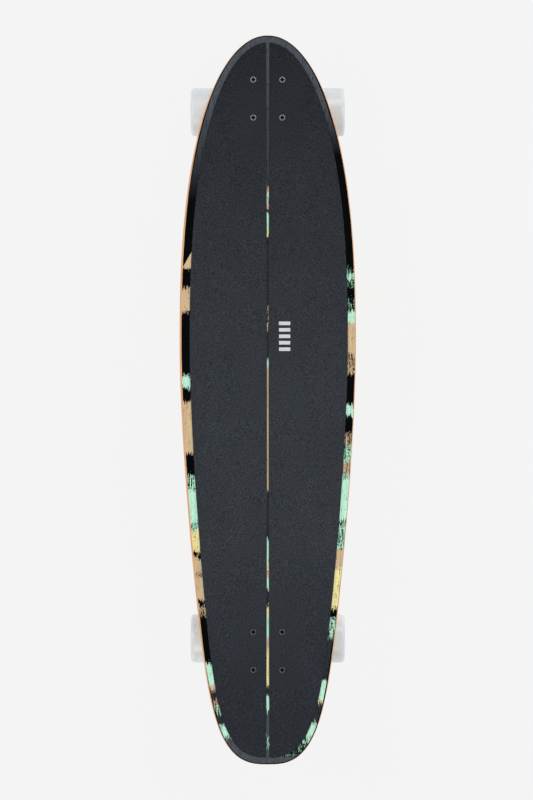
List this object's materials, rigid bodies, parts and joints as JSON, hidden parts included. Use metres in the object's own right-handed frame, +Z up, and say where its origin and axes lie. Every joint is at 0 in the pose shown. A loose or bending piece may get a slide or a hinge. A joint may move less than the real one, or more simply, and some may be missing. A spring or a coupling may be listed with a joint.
{
  "type": "longboard skateboard",
  "caption": "Longboard skateboard with a moulded deck, split grip sheet, steering trucks on sprung bushings and free-spinning pale wheels.",
  "frame": {"origin": "on the ground, below the middle of the deck, where the board stands on its wheels", "axes": "+Y towards the nose, +X to the right seen from above with the nose ahead, +Z up"},
  "size_m": [0.2506, 1.035, 0.141],
  "materials": {
    "deck_wood": "printed and lacquered maple ply with bare tan edges",
    "grip_grit": "black abrasive grip sheet",
    "riser_rubber": "black moulded rubber",
    "cast_metal": "satin cast aluminium",
    "cup_plastic": "black nylon",
    "bushing_urethane": "amber urethane, slightly translucent",
    "steel": "zinc-plated steel",
    "black_steel": "black oxide steel",
    "tyre_urethane": "pale translucent urethane",
    "core_plastic": "white moulded plastic"
  },
  "bodies": {
    "board": {"deck": "deck_wood", "grip_left": "grip_grit", "grip_right": "grip_grit", "front_left_outer_bolt": "black_steel", "front_left_inner_bolt": "black_steel", "front_right_outer_bolt": "black_steel", "front_right_inner_bolt": "black_steel", "rear_left_outer_bolt": "black_steel", "rear_left_inner_bolt": "black_steel", "rear_right_outer_bolt": "black_steel", "rear_right_inner_bolt": "black_steel", "front_riser": "riser_rubber", "front_baseplate": "cast_metal", "front_pivot_cup": "cup_plastic", "front_kingpin": "steel", "front_kingpin_nut": "steel", "front_board_bushing": "bushing_urethane", "front_road_bushing": "bushing_urethane", "front_board_washer": "steel", "front_road_washer": "steel", "rear_riser": "riser_rubber", "rear_baseplate": "cast_metal", "rear_pivot_cup": "cup_plastic", "rear_kingpin": "steel", "rear_kingpin_nut": "steel", "rear_board_bushing": "bushing_urethane", "rear_road_bushing": "bushing_urethane", "rear_board_washer": "steel", "rear_road_washer": "steel"},
    "front_hanger": {"front_hanger": "cast_metal", "front_axle": "steel", "front_left_axle_nut": "steel", "front_left_spacer": "steel", "front_right_axle_nut": "steel", "front_right_spacer": "steel"},
    "front_left_wheel": {"front_left_tyre": "tyre_urethane", "front_left_core": "core_plastic", "front_left_inner_bearing": "steel", "front_left_outer_bearing": "steel"},
    "front_right_wheel": {"front_right_tyre": "tyre_urethane", "front_right_core": "core_plastic", "front_right_inner_bearing": "steel", "front_right_outer_bearing": "steel"},
    "rear_hanger": {"rear_hanger": "cast_metal", "rear_axle": "steel", "rear_left_axle_nut": "steel", "rear_left_spacer": "steel", "rear_right_axle_nut": "steel", "rear_right_spacer": "steel"},
    "rear_left_wheel": {"rear_left_tyre": "tyre_urethane", "rear_left_core": "core_plastic", "rear_left_inner_bearing": "steel", "rear_left_outer_bearing": "steel"},
    "rear_right_wheel": {"rear_right_tyre": "tyre_urethane", "rear_right_core": "core_plastic", "rear_right_inner_bearing": "steel", "rear_right_outer_bearing": "steel"}
  },
  "joints": [
    {"name": "front_steer", "type": "hinge", "parent": "board", "child": "front_hanger", "pos_m": [0, 0.40187, 0.02942], "axis": [0, 0.6428, 0.766], "range_deg": [-18, 18], "stiffness_Nm_per_rad": 60, "deforming": ["front_board_bushing", "front_road_bushing"]},
    {"name": "rear_steer", "type": "hinge", "parent": "board", "child": "rear_hanger", "pos_m": [0, -0.33257, 0.02942], "axis": [0, -0.6428, 0.766], "range_deg": [-18, 18], "stiffness_Nm_per_rad": 60, "deforming": ["rear_board_bushing", "rear_road_bushing"]},
    {"name": "front_left_spin", "type": "hinge", "parent": "front_hanger", "child": "front_left_wheel", "pos_m": [-0.0905, 0.417, 0.035], "axis": [1, 0, 0], "continuous": true},
    {"name": "front_right_spin", "type": "hinge", "parent": "front_hanger", "child": "front_right_wheel", "pos_m": [0.0905, 0.417, 0.035], "axis": [1, 0, 0], "continuous": true},
    {"name": "rear_left_spin", "type": "hinge", "parent": "rear_hanger", "child": "rear_left_wheel", "pos_m": [-0.0905, -0.3477, 0.035], "axis": [1, 0, 0], "continuous": true},
    {"name": "rear_right_spin", "type": "hinge", "parent": "rear_hanger", "child": "rear_right_wheel", "pos_m": [0.0905, -0.3477, 0.035], "axis": [1, 0, 0], "continuous": true}
  ]
}
